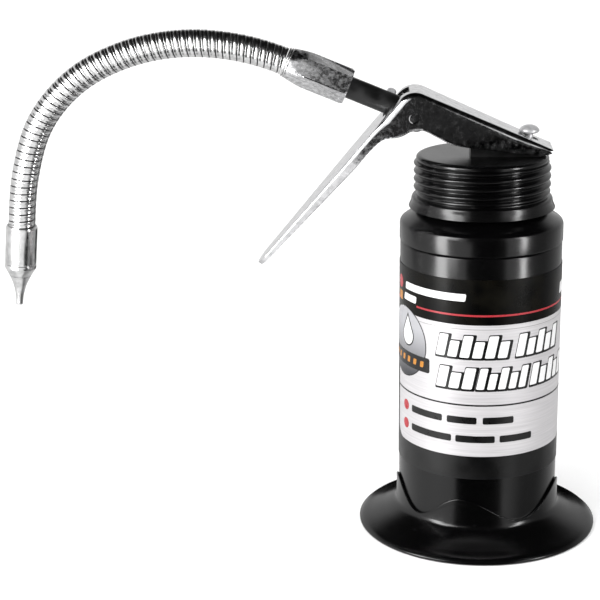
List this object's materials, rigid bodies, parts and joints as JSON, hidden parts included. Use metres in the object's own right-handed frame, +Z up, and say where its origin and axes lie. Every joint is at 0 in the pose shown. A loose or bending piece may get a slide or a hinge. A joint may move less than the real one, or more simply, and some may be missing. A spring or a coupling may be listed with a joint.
{
  "type": "pistol-grip oiler can",
  "caption": "Pistol-grip pump oiler: black steel can on a flared foot, threaded cap with squeeze lever and plunger pump, and a flexible metal spout with a tapered nozzle.",
  "frame": {"origin": "the can's axis at the plane that the foot and the can's floor stand on", "axes": "+Z up along the can; the lever, pump and spout lie in the XZ plane with the spout towards -X; +Y away from the side that the maker's picture shows"},
  "size_m": [0.1948, 0.0784, 0.1648],
  "materials": {
    "black_enamel": "gloss black enamel, baked",
    "label_film": "printed film, silver and black",
    "rubber": "moulded",
    "black_oxide": "satin black",
    "bright_steel": "turned, bright",
    "hose_steel": "plated strip-wound steel",
    "nut_steel": "plated over a rough-milled surface",
    "brass": "turned",
    "nylon": "natural nylon",
    "chrome": "polished plating"
  },
  "bodies": {
    "can": {"can_body": "black_enamel", "foot_flange": "black_enamel", "body_label": "label_film", "can_shoulder": "black_enamel"},
    "gasket": {"cap_gasket": "rubber"},
    "cap": {"screw_cap": "black_enamel", "pump_head": "black_oxide", "head_screw": "bright_steel", "pump_barrel": "bright_steel", "rod_seal": "rubber", "foot_valve": "brass", "valve_flap": "rubber", "suction_tube": "nylon", "strainer": "nylon", "return_spring": "bright_steel", "spout_tube": "black_oxide", "pivot_yoke": "black_oxide", "pivot_stud_near": "bright_steel", "pivot_stud_far": "bright_steel", "hose_nut": "nut_steel", "hose_collar": "bright_steel", "hose_segment_1": "hose_steel"},
    "lever": {"trigger_lever": "chrome"},
    "plunger": {"plunger_rod": "chrome", "piston": "brass", "piston_cup": "rubber"},
    "hose_2": {"hose_segment_2": "hose_steel"},
    "hose_3": {"hose_segment_3": "hose_steel"},
    "hose_4": {"hose_segment_4": "hose_steel"},
    "hose_5": {"hose_segment_5": "hose_steel"},
    "hose_6": {"hose_segment_6": "hose_steel"},
    "hose_7": {"hose_segment_7": "hose_steel", "ferrule": "bright_steel", "nozzle_tip": "bright_steel"}
  },
  "joints": [
    {"name": "cap_lift", "type": "slide", "parent": "can", "child": "gasket", "axis": [0, 0, 1], "range_m": [0, 0.0105]},
    {"name": "cap_turn", "type": "hinge", "parent": "gasket", "child": "cap", "pos_m": [0, 0, 0.1249], "axis": [0, 0, 1], "range_deg": [0, 1440]},
    {"name": "lever_squeeze", "type": "hinge", "parent": "cap", "child": "lever", "pos_m": [-0.022, 0, 0.1379], "axis": [0, -1, 0], "range_deg": [0, 22], "stiffness_Nm_per_rad": 0.4, "springref_deg": -34.38},
    {"name": "plunger_lift", "type": "slide", "parent": "cap", "child": "plunger", "axis": [0, 0, 1], "range_m": [0, 0.0136], "deforming": ["return_spring"]},
    {"name": "hose_bend_1", "type": "hinge", "parent": "cap", "child": "hose_2", "pos_m": [-0.07957, 0, 0.15936], "axis": [0, -1, 0], "range_deg": [-20, 20]},
    {"name": "hose_sway_2", "type": "hinge", "parent": "hose_2", "child": "hose_3", "pos_m": [-0.09707, 0, 0.16016], "axis": [-0.0779, 0, 0.997], "range_deg": [-20, 20]},
    {"name": "hose_bend_3", "type": "hinge", "parent": "hose_3", "child": "hose_4", "pos_m": [-0.11418, 0, 0.15648], "axis": [0, -1, 0], "range_deg": [-20, 20]},
    {"name": "hose_bend_4", "type": "hinge", "parent": "hose_4", "child": "hose_5", "pos_m": [-0.12962, 0, 0.14827], "axis": [0, -1, 0], "range_deg": [-20, 20]},
    {"name": "hose_sway_5", "type": "hinge", "parent": "hose_5", "child": "hose_6", "pos_m": [-0.14115, 0, 0.13517], "axis": [-0.8628, 0, 0.5056], "range_deg": [-20, 20]},
    {"name": "hose_bend_6", "type": "hinge", "parent": "hose_6", "child": "hose_7", "pos_m": [-0.14696, 0, 0.11871], "axis": [0, -1, 0], "range_deg": [-20, 20]}
  ],
  "couplings": [
    {"joint": "plunger_lift", "follows": "lever_squeeze", "m_per_rad": 0.035},
    {"joint": "cap_lift", "follows": "cap_turn", "m_per_rad": 0.0004138}
  ]
}
